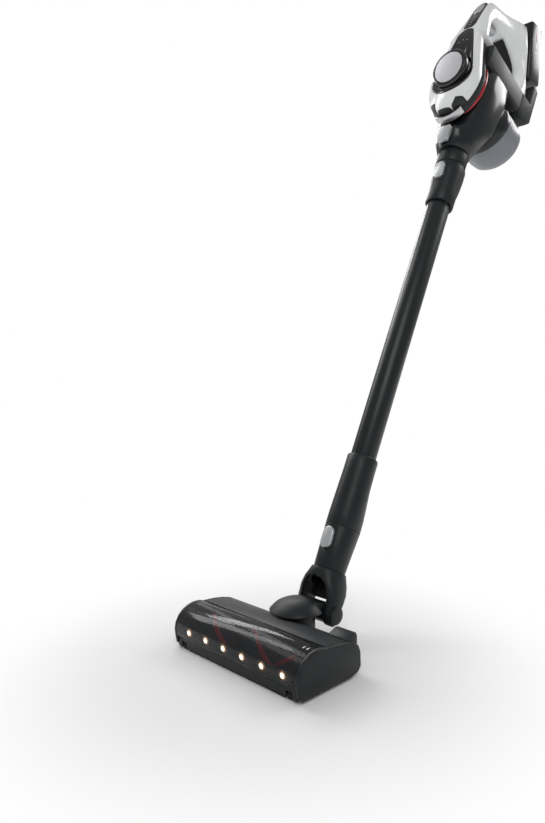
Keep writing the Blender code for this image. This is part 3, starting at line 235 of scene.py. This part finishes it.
def only(obj):
    """Leaves just this object selected and active."""
    bpy.ops.object.select_all(action="DESELECT")
    obj.select_set(True)
    bpy.context.view_layer.objects.active = obj
    return obj


def named(name):
    obj = bpy.context.view_layer.objects.active
    obj.name = name
    obj.data.name = name
    return obj


def settle(obj, frame_matrix, angle=35.0):
    """Puts a piece drawn in a local frame into its place, with the place in its mesh."""
    obj.matrix_world = frame_matrix @ obj.matrix_world
    only(obj)
    bpy.ops.object.transform_apply(location=True, rotation=True, scale=True)
    bpy.ops.object.shade_smooth_by_angle(angle=math.radians(angle))
    return obj


def outward(obj):
    """Merges doubles and turns every face of a closed piece outwards."""
    only(obj)
    bpy.ops.object.mode_set(mode="EDIT")
    bpy.ops.mesh.select_all(action="SELECT")
    bpy.ops.mesh.remove_doubles(threshold=0.00001)
    bpy.ops.mesh.normals_make_consistent(inside=False)
    bpy.ops.object.mode_set(mode="OBJECT")
    return obj


def modify(obj, kind, **settings):
    """Adds a modifier and applies it."""
    only(obj)
    mod = obj.modifiers.new(kind.lower(), kind)
    for name, value in settings.items():
        setattr(mod, name, value)
    bpy.ops.object.modifier_apply(modifier=mod.name)
    return obj


def rounded(obj, width, segments=2, angle=30.0):
    return modify(obj, "BEVEL", width=width, segments=segments, limit_method="ANGLE",
                  angle_limit=math.radians(angle), harden_normals=False)


def refined(node, shade, edge=0.0006, angle=32.0, segments=2):
    """A finished copy of a CAD node: joined up, its edges rounded and its faces smoothed."""
    only(NODES[node])
    bpy.ops.object.duplicate()
    copy = named("fine_" + node)
    copy.parent = None
    copy.matrix_world = Matrix.Identity(4)
    copy.data.materials.clear()
    if copy.data.has_custom_normals:
        bpy.ops.mesh.customdata_custom_splitnormals_clear()
    bpy.ops.object.mode_set(mode="EDIT")
    bpy.ops.mesh.select_all(action="SELECT")
    bpy.ops.mesh.remove_doubles(threshold=0.00002)
    bpy.ops.mesh.dissolve_limited(angle_limit=math.radians(1.0))
    bpy.ops.object.mode_set(mode="OBJECT")
    if edge:
        rounded(copy, edge, segments, angle)
    only(copy)
    bpy.ops.object.shade_smooth_by_angle(angle=math.radians(angle))
    shade.paint(copy)
    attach(copy, BODY_OF[node])
    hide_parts(node)
    return copy


# ------------------------------------------------------------------ finishes

satin_black = moulded("satin_black", (0.0085, 0.0102, 0.0118), 0.42, specular_ior_level=0.34)
deck_black = moulded("deck_black", (0.010, 0.0122, 0.0142), 0.46, grain=1100.0, strength=0.2, specular_ior_level=0.34)
tube_black = moulded("tube_black", (0.0075, 0.0095, 0.0108), 0.34, grain=2200.0, strength=0.06, specular_ior_level=0.38)
gloss_black = glossy("gloss_black", (0.005, 0.0055, 0.006), 0.06, specular_ior_level=0.45)
pack_black = glossy("pack_black", (0.006, 0.0065, 0.0075), 0.22, specular_ior_level=0.40)
casing_grey = moulded("casing_grey", (0.0165, 0.0185, 0.0190), 0.44, specular_ior_level=0.34)
shell_white = glossy("shell_white", (0.80, 0.81, 0.815), 0.20, coat_weight=0.35, coat_roughness=0.10)
trigger_grey = moulded("trigger_grey", (0.36, 0.37, 0.38), 0.36)
button_silver = lacquer("button_silver", (0.50, 0.51, 0.52), 0.38, metallic=0.6)
step_silver = lacquer("step_silver", (0.58, 0.58, 0.60), 0.34)
plate_silver = brushed("plate_silver", (0.50, 0.50, 0.52), 0.34, axis=1)
flash_red = glossy("flash_red", (0.42, 0.008, 0.018), 0.18)
mark_white = glossy("mark_white", (0.62, 0.63, 0.64), 0.25)
smoky_dark = glossy("smoky_dark", (0.0080, 0.0098, 0.0112), 0.17, specular_ior_level=0.42)
smoky_clear = glossy("smoky_clear", (0.012, 0.014, 0.016), 0.10, alpha=0.50, specular_ior_level=0.5)
grey_clear = glossy("grey_clear", (0.225, 0.235, 0.260), 0.24, alpha=0.92)
soft_black = moulded("soft_black", (0.0075, 0.0075, 0.0082), 0.62, grain=900.0, strength=0.25, specular_ior_level=0.3)
tyre_black = moulded("tyre_black", (0.012, 0.012, 0.012), 0.78, grain=700.0, strength=0.3, specular_ior_level=0.3)
steel_bright = brushed("steel_bright", (0.55, 0.55, 0.56), 0.30)
felt_black = moulded("felt_black", (0.016, 0.016, 0.016), 0.95, grain=2500.0, strength=0.9, specular_ior_level=0.2)
bristle_red = moulded("bristle_red", (0.85, 0.012, 0.045), 0.65, grain=3000.0, strength=0.8)
filter_white = moulded("filter_white", (0.70, 0.70, 0.67), 0.9, grain=2000.0, strength=0.6)
board_green = moulded("board_green", (0.012, 0.07, 0.030), 0.4)


def disc_finish():
    """The filter cap: a silver lacquered face inside a polished black ring."""
    shade = lacquer("disc_face", (0.60, 0.60, 0.63), 0.36)
    x, y, z = shade.axes(DISC)
    radius = (x * x + y * y).math("SQRT")
    rim = shade.smooth(radius, CAP_FACE_RADIUS - 0.0001, CAP_FACE_RADIUS + 0.0001)
    flakes = shade.node("SeparateColor", inputs={0: shade.node("TexVoronoi", inputs={"Vector": shade.place(),
                        "Scale": 2600.0}, out="Color")})
    face = shade.mix(flakes, (0.50, 0.50, 0.525), (0.64, 0.64, 0.67))
    shade.set("Base Color", shade.mix(rim, face, (0.005, 0.0055, 0.006)))
    shade.set("Metallic", (1.0 - rim) * 0.55)
    shade.set("Roughness", 0.38 - rim * 0.30)
    return shade


def sleeve_finish():
    """Woven roller sleeve: fine light and dark threads that wind round it aslant."""
    shade = Shade("sleeve_weave", (0.04, 0.042, 0.05), 0.75, specular_ior_level=0.25)
    x, y, z = shade.axes(ROLLER)
    angle = z.math("ARCTAN2", y)
    wound = (x * 900.0 - angle * 26.0).math("SINE")
    cross = (x * 900.0 + angle * 26.0).math("SINE")
    weave = shade.smooth(wound * 0.7 + cross * 0.3, -0.5, 0.6)
    fuzz = shade.noise(1800.0, 2.0)
    shade.set("Base Color", shade.mix(weave * (fuzz * 0.6 + 0.6), (0.010, 0.011, 0.014), (0.115, 0.120, 0.145)))
    shade.set("Roughness", 0.62 + fuzz * 0.25)
    shade.bump(weave + fuzz * 0.5, 0.6, 0.0004)
    return shade


def lamp_finish():
    """The strip: six warm lens domes on a dark carrier, brightest at each lens centre."""
    shade = Shade("lamp_warm", (0.02, 0.02, 0.02), 0.25, emission_strength=9.0)
    x, y, z = shade.axes()
    along = ((x / LAMP_PITCH).math("FRACT") - 0.5) * LAMP_PITCH
    rise = z - LAMP_UP
    reach = (along * along + rise * rise).math("SQRT")
    glow = shade.ramp(reach * 100.0, (0.0, (1.0, 0.93, 0.80)), (0.28, (1.0, 0.86, 0.66)), (0.40, (0.10, 0.055, 0.030)),
                      (0.62, (0.012, 0.006, 0.004)), (1.0, (0.0, 0.0, 0.0)))
    shade.set("Emission Color", glow)
    shade.set("Roughness", shade.smooth(reach, 0.0035, 0.0045, 0.1, 0.4))
    return shade


def dish_finish():
    """The reflectors: a painted glow where their lens would light them, with painted star rays that spread from it."""
    shade = Shade("dish_glow", (0.05, 0.05, 0.05), 0.3, emission_strength=3.0)
    x, y, z = shade.axes()
    along = ((x / LAMP_PITCH).math("FRACT") - 0.5) * LAMP_PITCH
    rise = z - LAMP_UP
    reach = (along * along + rise * rise).math("SQRT")
    painted_star_rays = (rise.math("ARCTAN2", along) * 8.0).math("COSINE")
    # Painted glow: emission brightest near the lens, standing in for the lens's light on the reflector, with painted
    # star rays.
    lit = shade.smooth(reach, 0.0076, 0.0030) * (0.62 + painted_star_rays * 0.38)
    shade.set("Emission Color", shade.ramp(lit, (0.0, (0.0, 0.0, 0.0)), (0.30, (0.12, 0.058, 0.026)),
                                           (0.65, (0.50, 0.28, 0.13)), (1.0, (1.0, 0.80, 0.55))))
    shade.set("Roughness", 0.22 + lit * 0.2)
    return shade


disc_silver = disc_finish()
# The reflectors carry a painted glow from the lamps, not light of their own.
dish_glow = dish_finish()
stud_grey = moulded("stud_grey", (0.020, 0.022, 0.023), 0.36, specular_ior_level=0.45)
sleeve_grey = sleeve_finish()
lamp_warm = lamp_finish()

PLAIN = {
    satin_black: ("nozzle_base", "end_cap_left", "end_cap_right", "turret", "neck_cuff", "pivot_pin_left",
                  "pivot_pin_right", "neck_tube", "lower_collar", "upper_collar", "inlet_pipe", "drive_pulley"),
    deck_black: ("nozzle_deck",),
    tube_black: ("wand_tube",),
    casing_grey: ("wand_rail", "front_housing", "front_frame", "motor_housing", "brush_core", "rear_grille"),
    gloss_black: ("top_panel", "control_panel"),
    pack_black: ("battery_pack",),
    shell_white: ("handle_shell",),
    trigger_grey: ("trigger",),
    disc_silver: ("filter_cap",),
    button_silver: ("lower_release_button", "upper_release_button", "container_release_button", "mode_button"),
    step_silver: ("front_step",),
    flash_red: ("red_trim_left", "red_trim_right", "battery_release_button"),
    smoky_dark: ("dust_container",),
    smoky_clear: ("brush_cover",),
    grey_clear: ("dust_cup",),
    soft_black: ("grip_insert", "cup_seal", "drive_belt"),
    tyre_black: ("rear_wheel_left", "rear_wheel_right", "front_roller_left", "front_roller_right"),
    steel_bright: ("brush_bearing_left", "brush_bearing_right", "rear_axle_left", "rear_axle_right",
                   "nozzle_motor", "suction_motor", "motor_fan", "cyclone_filter"),
    felt_black: ("front_felt_strip",),
    filter_white: ("exhaust_filter",),
    board_green: ("led_board", "control_board"),
    lamp_warm: ("led_lens_strip",),
}
FINE = {}
for shade, members in PLAIN.items():
    for member in members:
        FINE[member] = refined(member, shade)


# ------------------------------------------------------------------ added pieces

def placed(obj, shade, body, matrix, angle=35.0):
    """Settles an added piece, gives it its finish and fixes it to its body."""
    settle(obj, matrix, angle)
    outward(obj)
    shade.paint(obj)
    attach(obj, body)
    return obj


def drawn_round(name, rings, sides=24):
    """A round piece drawn out ring by ring from (radius, height) pairs, closed at both ends."""
    bpy.ops.object.select_all(action="DESELECT")
    radius, height = rings[0]
    bpy.ops.mesh.primitive_circle_add(vertices=sides, radius=radius, location=(0, 0, height), fill_type="NGON")
    piece = named(name)
    bpy.ops.object.transform_apply(location=True)
    bpy.ops.object.mode_set(mode="EDIT")
    bpy.ops.mesh.select_all(action="SELECT")
    for wide, high in rings[1:]:
        bpy.ops.mesh.extrude_region_move(TRANSFORM_OT_translate={"value": (0, 0, high - height)})
        grow = wide / radius
        bpy.ops.transform.resize(value=(grow, grow, 1.0), center_override=(0, 0, high))
        radius, height = wide, high
    bpy.ops.object.mode_set(mode="OBJECT")
    return piece


def bar(name, size, edge):
    """A small block with rounded edges."""
    bpy.ops.object.select_all(action="DESELECT")
    bpy.ops.mesh.primitive_cube_add(size=1.0)
    piece = named(name)
    piece.scale = size
    bpy.ops.object.transform_apply(scale=True)
    return rounded(piece, edge, 3, 20.0)


def touch(piece, start, heading):
    """Where a line from start along heading meets a finished piece, and which way that face looks."""
    hit, place, normal, _ = piece.ray_cast(Vector(start), Vector(heading).normalized())
    if not hit:
        raise ValueError("no face of " + piece.name + " there")
    return place, normal


def seated(place, normal, along, sink=0.0):
    """A frame on a surface: Z out of it, X as near along as it can be."""
    z = normal.normalized()
    y = z.cross(along).normalized()
    x = y.cross(z)
    turn = Matrix((x, y, z)).transposed().to_4x4()
    return Matrix.Translation(place - z * sink) @ turn


def roller_strip(name, shade, low, high, heading, turn, reach, thick):
    """Two opposite bristle rows: a blade across the roller, wound about it by turn radians a metre."""
    bpy.ops.object.select_all(action="DESELECT")
    bpy.ops.mesh.primitive_cube_add(size=1.0, location=((low + high) / 2, 0, 0))
    blade = named(name)
    blade.scale = (high - low, thick, 2 * reach)
    bpy.ops.object.transform_apply(location=True, scale=True)
    bpy.ops.object.mode_set(mode="EDIT")
    bpy.ops.mesh.select_all(action="DESELECT")
    mesh = bmesh.from_edit_mesh(blade.data)
    for edge in mesh.edges:
        run = edge.verts[0].co - edge.verts[1].co
        edge.select = abs(run.x) > 0.9 * run.length
    bmesh.update_edit_mesh(blade.data)
    bpy.ops.mesh.subdivide(number_cuts=max(6, int((high - low) * 500)))
    bpy.ops.object.mode_set(mode="OBJECT")
    blade.rotation_euler = (heading - math.pi / 2, 0, 0)
    bpy.ops.object.transform_apply(rotation=True)
    modify(blade, "SIMPLE_DEFORM", deform_method="TWIST", deform_axis="X", angle=turn * (high - low))
    return placed(blade, shade, "brush", ROLLER, 25.0)


def build_roller():
    sleeve = drawn_round("roller_sleeve", [(0.0158, -0.1058), (0.0174, -0.1052), (0.0176, -0.1040), (0.0176, 0.0920),
                                           (0.0174, 0.0934), (0.0158, 0.0940)], 48)
    placed(sleeve, sleeve_grey, "brush", ROLLER @ Matrix.Rotation(math.pi / 2, 4, "Y"))
    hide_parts("brush_sleeve")
    rows = (("red_bristles", bristle_red, 4.31, 0.0222), ("dark_bristles", felt_black, 5.88, 0.0206))
    for name, shade, lead, reach in rows:
        roller_strip(name + "_long", shade, -0.1050, STRIP_APEX, lead, BRISTLE_WIND, reach, BRISTLE_THICK)
        turned = lead + 2 * BRISTLE_WIND * STRIP_APEX
        roller_strip(name + "_short", shade, STRIP_APEX, 0.0932, turned, -BRISTLE_WIND, reach, BRISTLE_THICK)


def build_lamp_dishes():
    """A shallow reflector round each lens, painted with a glow and star rays from it."""
    rings = [(0.0070, 0.0001), (0.0070, 0.0012), (0.0064, 0.0014), (0.0043, 0.0003)]
    first = drawn_round("lamp_dish_0", rings, 32)
    for i in range(6):
        x = (i - 2.5) * LAMP_PITCH
        matrix = Matrix.Translation((x, LAYOUT_Y - 0.1642, LAMP_UP)) @ Matrix.Rotation(math.pi / 2, 4, "X")
        copy = first.copy()
        copy.data = first.data.copy()
        bpy.context.collection.objects.link(copy)
        copy.name = f"lamp_reflector_{i}"
        placed(copy, dish_glow, "nozzle", matrix, 25.0)
    bpy.data.objects.remove(first, do_unlink=True)


def build_panel_marks():
    """Small raised dots on the two black panels, in place of printed signs."""
    down = STICK.to_3x3() @ Vector((0, 1, 0))
    spots = [("top_panel", x, up) for x, up in ((-0.0080, 0.9850), (0.0, 0.9880), (0.0080, 0.9850))]
    spots += [("control_panel", 0.0, up) for up in (1.0270, 1.0345, 1.0420, 1.0495)]
    for i, (node, x, up) in enumerate(spots):
        place, normal = touch(FINE[node], STICK @ Vector((x, -0.3, up)), down)
        dot = drawn_round(f"panel_dot_{i}", [(0.0008, 0.0), (0.0008, 0.0003), (0.0005, 0.00045)], 16)
        placed(dot, mark_white, "hand_unit", seated(place, normal, Vector((1, 0, 0)), 0.0001))


def build_battery_marks():
    """Plain bars on the battery's side, one red and three pale, in place of lettering."""
    bars = ((-0.002, 0.030, 0.016, flash_red, "red"), (-0.002, 0.012, 0.010, mark_white, "light_grey"),
            (-0.002, 0.000, 0.006, mark_white, "light_grey"), (0.004, -0.016, 0.008, mark_white, "light_grey"))
    for i, (y, z, tall, shade, slot) in enumerate(bars):
        for sign, hand in ((1, "right"), (-1, "left")):
            mark = bar(f"battery_mark_{i}_{hand}", (0.0006, 0.0026, tall), 0.00025)
            placed(mark, shade, "battery", BATTERY @ Matrix.Translation((sign * PACK_SIDE, y, z)))


def build_grille_studs():
    """Rows of small four-sided studs that cover both sides of the rear grille."""
    for hand, sign in (("right", 1), ("left", -1)):
        for part, low, high, columns, rows in (("lower", 0.0885, 0.9500, 12, 11), ("upper", 0.1178, 0.9890, 4, 11)):
            bpy.ops.object.select_all(action="DESELECT")
            bpy.ops.mesh.primitive_cone_add(vertices=4, radius1=0.0016, radius2=0.0002, depth=0.0010)
            stud = named(f"grille_studs_{part}_{hand}")
            modify(stud, "ARRAY", count=columns, use_relative_offset=False, use_constant_offset=True,
                   constant_offset_displace=(STUD_PITCH, 0, 0))
            modify(stud, "ARRAY", count=rows, use_relative_offset=False, use_constant_offset=True,
                   constant_offset_displace=(0, STUD_PITCH, 0))
            turn = Matrix(((0, 0, sign, 0), (1, 0, 0, 0), (0, 1, 0, 0), (0, 0, 0, 1)))
            corner = STICK @ Matrix.Translation((sign * 0.0452, low, high))
            placed(stud, stud_grey, "hand_unit", corner @ turn, 10.0)


def build_cover_marks():
    """Two short pale bars at the cover's end, where its catch is."""
    for i, x in enumerate((0.1045, 0.1110)):
        place, normal = touch(FINE["brush_cover"], (x, LAYOUT_Y - 0.1400, 0.2), (0, 0, -1))
        mark = bar(f"cover_mark_{i}", (0.0016, 0.0050, 0.0004), 0.00015)
        placed(mark, mark_white, "nozzle", seated(place, normal, Vector((1, 0, 0))))


def build_grip_plate():
    """The thin metal plate beside the soft insert, bent round the loop's rear inner corner."""
    path = [(0.058, 1.0630), (0.066, 1.0595), (0.073, 1.0550), (0.080, 1.0470), (0.085, 1.0340), (0.0872, 1.0240)]
    bpy.ops.object.select_all(action="DESELECT")
    bpy.ops.mesh.primitive_grid_add(x_subdivisions=4, y_subdivisions=1, size=1.0)
    plate = named("grip_plate")
    plate.scale = (0.0110, 0.0010, 1.0)
    plate.location = (-0.0195, path[0][0] - 0.0005, path[0][1])
    bpy.ops.object.transform_apply(location=True, scale=True)
    bpy.ops.object.mode_set(mode="EDIT")
    bpy.ops.mesh.select_all(action="DESELECT")
    mesh = bmesh.from_edit_mesh(plate.data)
    far = max(vert.co.y for vert in mesh.verts)
    for edge in mesh.edges:
        edge.select = all(abs(vert.co.y - far) < 1e-6 for vert in edge.verts)
    bmesh.update_edit_mesh(plate.data)
    for (y, z), (next_y, next_z) in zip(path, path[1:]):
        for _ in range(4):
            bpy.ops.mesh.extrude_edges_move(TRANSFORM_OT_translate={"value": (0, (next_y - y) / 4, (next_z - z) / 4)})
    bpy.ops.object.mode_set(mode="OBJECT")
    plate.matrix_world = STICK
    bpy.ops.object.transform_apply(location=True, rotation=True)
    modify(plate, "SHRINKWRAP", target=FINE["handle_shell"], wrap_method="NEAREST_SURFACEPOINT",
           wrap_mode="ABOVE_SURFACE", offset=0.0004)
    modify(plate, "SOLIDIFY", thickness=0.0007, offset=0.0)
    rounded(plate, 0.0002, 2, 40.0)
    placed(plate, plate_silver, "hand_unit", Matrix.Identity(4))


build_roller()
build_lamp_dishes()
build_panel_marks()
build_battery_marks()
build_grille_studs()
build_cover_marks()
build_grip_plate()


# ------------------------------------------------------------------ stage

def build_camera():
    bpy.ops.object.camera_add()
    camera = bpy.context.object
    camera.name = "camera"
    camera.data.sensor_width = 36.0
    camera.data.lens = 29.49
    camera.data.clip_start = 0.01
    yaw, pitch, roll = math.radians(46.86), math.radians(3.94), math.radians(-1.49)
    level = Vector((math.cos(yaw), math.sin(yaw), 0.0))
    up = Vector((-math.sin(yaw) * math.sin(pitch), math.cos(yaw) * math.sin(pitch), math.cos(pitch)))
    back = level.cross(up)
    right = level * math.cos(roll) + up * math.sin(roll)
    top = up * math.cos(roll) - level * math.sin(roll)
    turn = Matrix((right, top, back)).transposed()
    camera.matrix_world = Matrix.Translation((0.65513, -0.69770 + LAYOUT_Y, 0.39320)) @ turn.to_4x4()
    bpy.context.scene.camera = camera


def background_rays(tree):
    """1 for the rays that should meet a white background: from the camera, in gloss and through clear pieces."""
    path = tree.nodes.new("ShaderNodeLightPath")
    found = path.outputs["Is Camera Ray"]
    for name in ("Is Glossy Ray", "Is Transmission Ray"):
        either = tree.nodes.new("ShaderNodeMath")
        either.operation = "MAXIMUM"
        tree.links.new(found, either.inputs[0])
        tree.links.new(path.outputs[name], either.inputs[1])
        found = either.outputs[0]
    return found


def build_floor():
    """A plain pale floor that keeps the shadow near the vacuum and fades into the white round it."""
    bpy.ops.mesh.primitive_grid_add(x_subdivisions=8, y_subdivisions=8, size=12.0, location=(0, 1.0, -0.0002))
    floor = named("floor")
    bpy.ops.object.transform_apply(location=True)
    shade = Shade("floor_pale", (0.86, 0.86, 0.86), 0.9, specular_ior_level=0.0)
    shade.set("Base Color", shade.mix(shade.noise(3.0), (0.855, 0.855, 0.855), (0.865, 0.865, 0.865)))
    x, y, z = shade.axes(Matrix.Translation((0, LAYOUT_Y - 0.10, 0)))
    away = (x * x + y * y).math("SQRT")
    far = shade.smooth(away, SHADOW_KEPT, SHADOW_GONE) * Value(shade, background_rays(shade.tree))
    white = shade.node("Emission", inputs={"Color": (1.0, 1.0, 1.0, 1.0), "Strength": 1.0})
    out = shade.tree.nodes["Material Output"]
    lit = Value(shade, shade.shader.outputs[0])
    both = shade.node("MixShader", inputs={0: far, 1: lit, 2: white})
    shade.tree.links.new(both.socket, out.inputs["Surface"])
    shade.paint(floor)


def build_world():
    world = bpy.data.worlds.new("studio")
    bpy.context.scene.world = world
    world.use_nodes = True
    tree = world.node_tree
    tree.nodes.clear()
    path = tree.nodes.new("ShaderNodeLightPath")
    seen = tree.nodes.new("ShaderNodeMath")
    seen.operation = "MAXIMUM"
    tree.links.new(path.outputs["Is Camera Ray"], seen.inputs[0])
    tree.links.new(path.outputs["Is Transmission Ray"], seen.inputs[1])
    soft = tree.nodes.new("ShaderNodeBackground")
    soft.inputs["Color"].default_value = (1, 1, 1, 1)
    soft.inputs["Strength"].default_value = 0.42
    white = tree.nodes.new("ShaderNodeBackground")
    white.inputs["Color"].default_value = (1, 1, 1, 1)
    white.inputs["Strength"].default_value = 1.0
    choice = tree.nodes.new("ShaderNodeMixShader")
    tree.links.new(seen.outputs[0], choice.inputs[0])
    tree.links.new(soft.outputs[0], choice.inputs[1])
    tree.links.new(white.outputs[0], choice.inputs[2])
    out = tree.nodes.new("ShaderNodeOutputWorld")
    tree.links.new(choice.outputs[0], out.inputs["Surface"])


def lamp(name, place, aim, size, power):
    """A soft rectangular light at place that looks at aim."""
    bpy.ops.object.light_add(type="AREA", location=place)
    light = bpy.context.object
    light.name = name
    light.data.shape = "RECTANGLE"
    light.data.size, light.data.size_y = size
    light.data.energy = power
    light.rotation_euler = (Vector(aim) - Vector(place)).to_track_quat("-Z", "Y").to_euler()
    return light


def build_lamps():
    lamp("key", (1.6, -1.6, 2.2), (0, 0.0, 0.5), (1.4, 1.4), 20.0)
    lamp("side_strip", (-1.5, -0.4, 1.6), (0, 0.0, 0.4), (0.5, 1.8), 12.0)
    lamp("back_strip", (0.4, 1.9, 1.7), (0, 0.1, 0.6), (1.6, 0.6), 14.0)
    lamp("cover_strip", (-1.9, 0.70, 1.55), (0, -0.36, 0.05), (1.6, 0.5), 16.0)


build_floor()
build_world()
build_lamps()
build_camera()
bpy.context.scene.view_settings.view_transform = "Standard"
